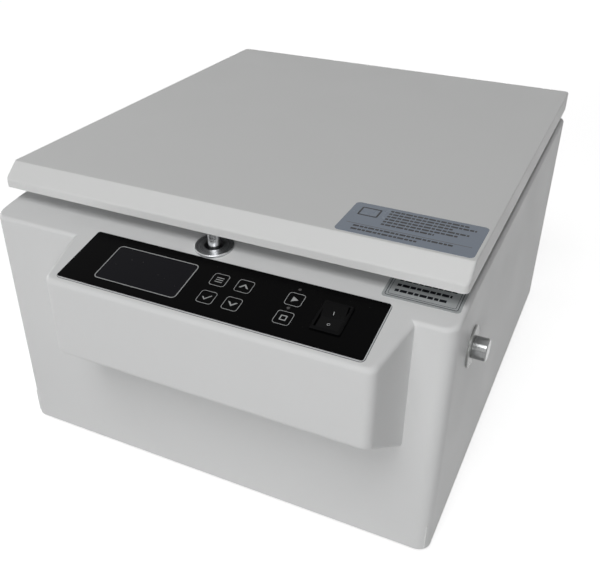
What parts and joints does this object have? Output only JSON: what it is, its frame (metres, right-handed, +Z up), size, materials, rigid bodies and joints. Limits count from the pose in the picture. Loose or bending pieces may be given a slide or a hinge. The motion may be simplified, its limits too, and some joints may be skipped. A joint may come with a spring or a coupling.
{
  "type": "microplate centrifuge",
  "caption": "Bench microplate centrifuge with a hinged flat lid, a swing-out rotor with plate carriers, a sloping keypad console and a side release knob for the lid latch.",
  "frame": {"origin": "centre of the bottom of the bounding box, on the surface that the feet stand on", "axes": "+X to the user's right, towards the release knob; +Y to the back, away from the console; +Z up"},
  "size_m": [0.444, 0.548, 0.2803],
  "materials": {
    "housing_paint": "smooth glossy off-white",
    "lid_paint": "smooth satin-gloss off-white enamel",
    "base_steel": "grey powder coat",
    "guard_steel": "dark grey primer",
    "rubber": "matt moulded",
    "seal_rubber": "soft matt",
    "zinc_screws": "bright zinc plate",
    "stainless": "brushed",
    "motor_casting": "painted casting",
    "ground_steel": "ground",
    "rotor_aluminium": "fine machined",
    "carrier_aluminium": "satin anodised",
    "liner_aluminium": "satin sheet",
    "chrome": "polished with turning marks",
    "nickel": "satin nickel",
    "zinc_casting": "die cast",
    "label_blue": "satin printed film",
    "label_silver": "satin printed film",
    "film_black": "smooth black membrane",
    "display_glass": "tinted acrylic",
    "black_plastic": "fine moulded",
    "switch_black": "fine moulded",
    "switch_gloss": "polished",
    "circuit_board": "solder mask",
    "brass": "bright",
    "heatsink": "black anodised",
    "capacitor_sleeve": "shrunk sleeve"
  },
  "bodies": {
    "root": {"housing": "housing_paint", "base_pan": "base_steel", "rubber_feet": "rubber", "base_screws": "zinc_screws", "chamber_bowl": "stainless", "chamber_seal": "seal_rubber", "guard_ring": "guard_steel", "vibration_dampers": "rubber", "motor_plate": "base_steel", "damper_bolts": "zinc_screws", "motor_body": "motor_casting", "shaft_boot": "rubber", "deck_label": "label_silver", "hinge_deck_leaves": "stainless", "hinge_pins": "ground_steel", "hinge_screws": "zinc_screws", "deck_escutcheon": "chrome", "lock_body": "zinc_casting", "microswitch": "black_plastic", "knob_escutcheon": "nickel", "latch_spring": "ground_steel", "control_film": "film_black", "display_window": "display_glass", "display_module": "black_plastic", "control_board": "circuit_board", "board_standoffs": "brass", "switch_frame": "switch_black", "switch_terminals": "brass", "mains_inlet": "black_plastic", "inlet_contacts": "brass", "fuse_drawer": "black_plastic", "fan_frame": "black_plastic", "fan_guard": "chrome", "power_board": "circuit_board", "drive_board": "circuit_board", "drive_heatsink": "heatsink", "smoothing_capacitors": "capacitor_sleeve"},
    "lid": {"lid_shell": "lid_paint", "lid_liner": "liner_aluminium", "lid_screws": "zinc_screws", "lid_label": "label_blue", "latch_pin": "chrome", "hinge_lid_leaves": "stainless"},
    "rotor": {"motor_shaft": "ground_steel", "rotor_yoke": "rotor_aluminium", "rotor_nut": "chrome", "trunnion_pins": "ground_steel"},
    "carrier_front": {"plate_carrier_front": "carrier_aluminium"},
    "carrier_rear": {"plate_carrier_rear": "carrier_aluminium"},
    "release": {"release_knob": "chrome", "release_rod": "ground_steel", "latch_slide": "base_steel"},
    "set_button": {"key_set": "film_black"},
    "confirm_button": {"key_confirm": "film_black"},
    "up_button": {"key_up": "film_black"},
    "down_button": {"key_down": "film_black"},
    "start_button": {"key_start": "film_black"},
    "stop_button": {"key_stop": "film_black"},
    "rocker": {"switch_rocker": "switch_gloss"},
    "fan_wheel": {"fan_rotor": "black_plastic"}
  },
  "joints": [
    {"name": "lid_hinge", "type": "hinge", "parent": "root", "child": "lid", "pos_m": [-0.007, 0.258, 0.2565], "axis": [-1, 0, 0], "range_deg": [0, 80]},
    {"name": "rotor_spin", "type": "hinge", "parent": "root", "child": "rotor", "pos_m": [-0.007, 0.042, 0.198], "axis": [0, 0, 1], "continuous": true},
    {"name": "carrier_front_swing", "type": "hinge", "parent": "rotor", "child": "carrier_front", "pos_m": [-0.007, -0.044, 0.198], "axis": [-1, 0, 0], "range_deg": [-8, 90]},
    {"name": "carrier_rear_swing", "type": "hinge", "parent": "rotor", "child": "carrier_rear", "pos_m": [-0.007, 0.128, 0.198], "axis": [1, 0, 0], "range_deg": [-8, 90]},
    {"name": "release_pull", "type": "slide", "parent": "root", "child": "release", "axis": [1, 0, 0], "range_m": [0, 0.008], "stiffness_N_per_m": 500, "springref_m": -0.01, "deforming": ["latch_spring"]},
    {"name": "set_press", "type": "slide", "parent": "root", "child": "set_button", "axis": [0, 0.2079, -0.9781], "range_m": [0, 0.0005], "stiffness_N_per_m": 1500, "springref_m": -0.0003},
    {"name": "confirm_press", "type": "slide", "parent": "root", "child": "confirm_button", "axis": [0, 0.2079, -0.9781], "range_m": [0, 0.0005], "stiffness_N_per_m": 1500, "springref_m": -0.0003},
    {"name": "up_press", "type": "slide", "parent": "root", "child": "up_button", "axis": [0, 0.2079, -0.9781], "range_m": [0, 0.0005], "stiffness_N_per_m": 1500, "springref_m": -0.0003},
    {"name": "down_press", "type": "slide", "parent": "root", "child": "down_button", "axis": [0, 0.2079, -0.9781], "range_m": [0, 0.0005], "stiffness_N_per_m": 1500, "springref_m": -0.0003},
    {"name": "start_press", "type": "slide", "parent": "root", "child": "start_button", "axis": [0, 0.2079, -0.9781], "range_m": [0, 0.0005], "stiffness_N_per_m": 1500, "springref_m": -0.0003},
    {"name": "stop_press", "type": "slide", "parent": "root", "child": "stop_button", "axis": [0, 0.2079, -0.9781], "range_m": [0, 0.0005], "stiffness_N_per_m": 1500, "springref_m": -0.0003},
    {"name": "power_rock", "type": "hinge", "parent": "root", "child": "rocker", "pos_m": [0.1185, -0.23714, 0.23495], "axis": [1, 0, 0], "range_deg": [-24, 0]},
    {"name": "fan_spin", "type": "hinge", "parent": "root", "child": "fan_wheel", "pos_m": [-0.127, 0.255, 0.086], "axis": [0, 1, 0], "continuous": true}
  ]
}
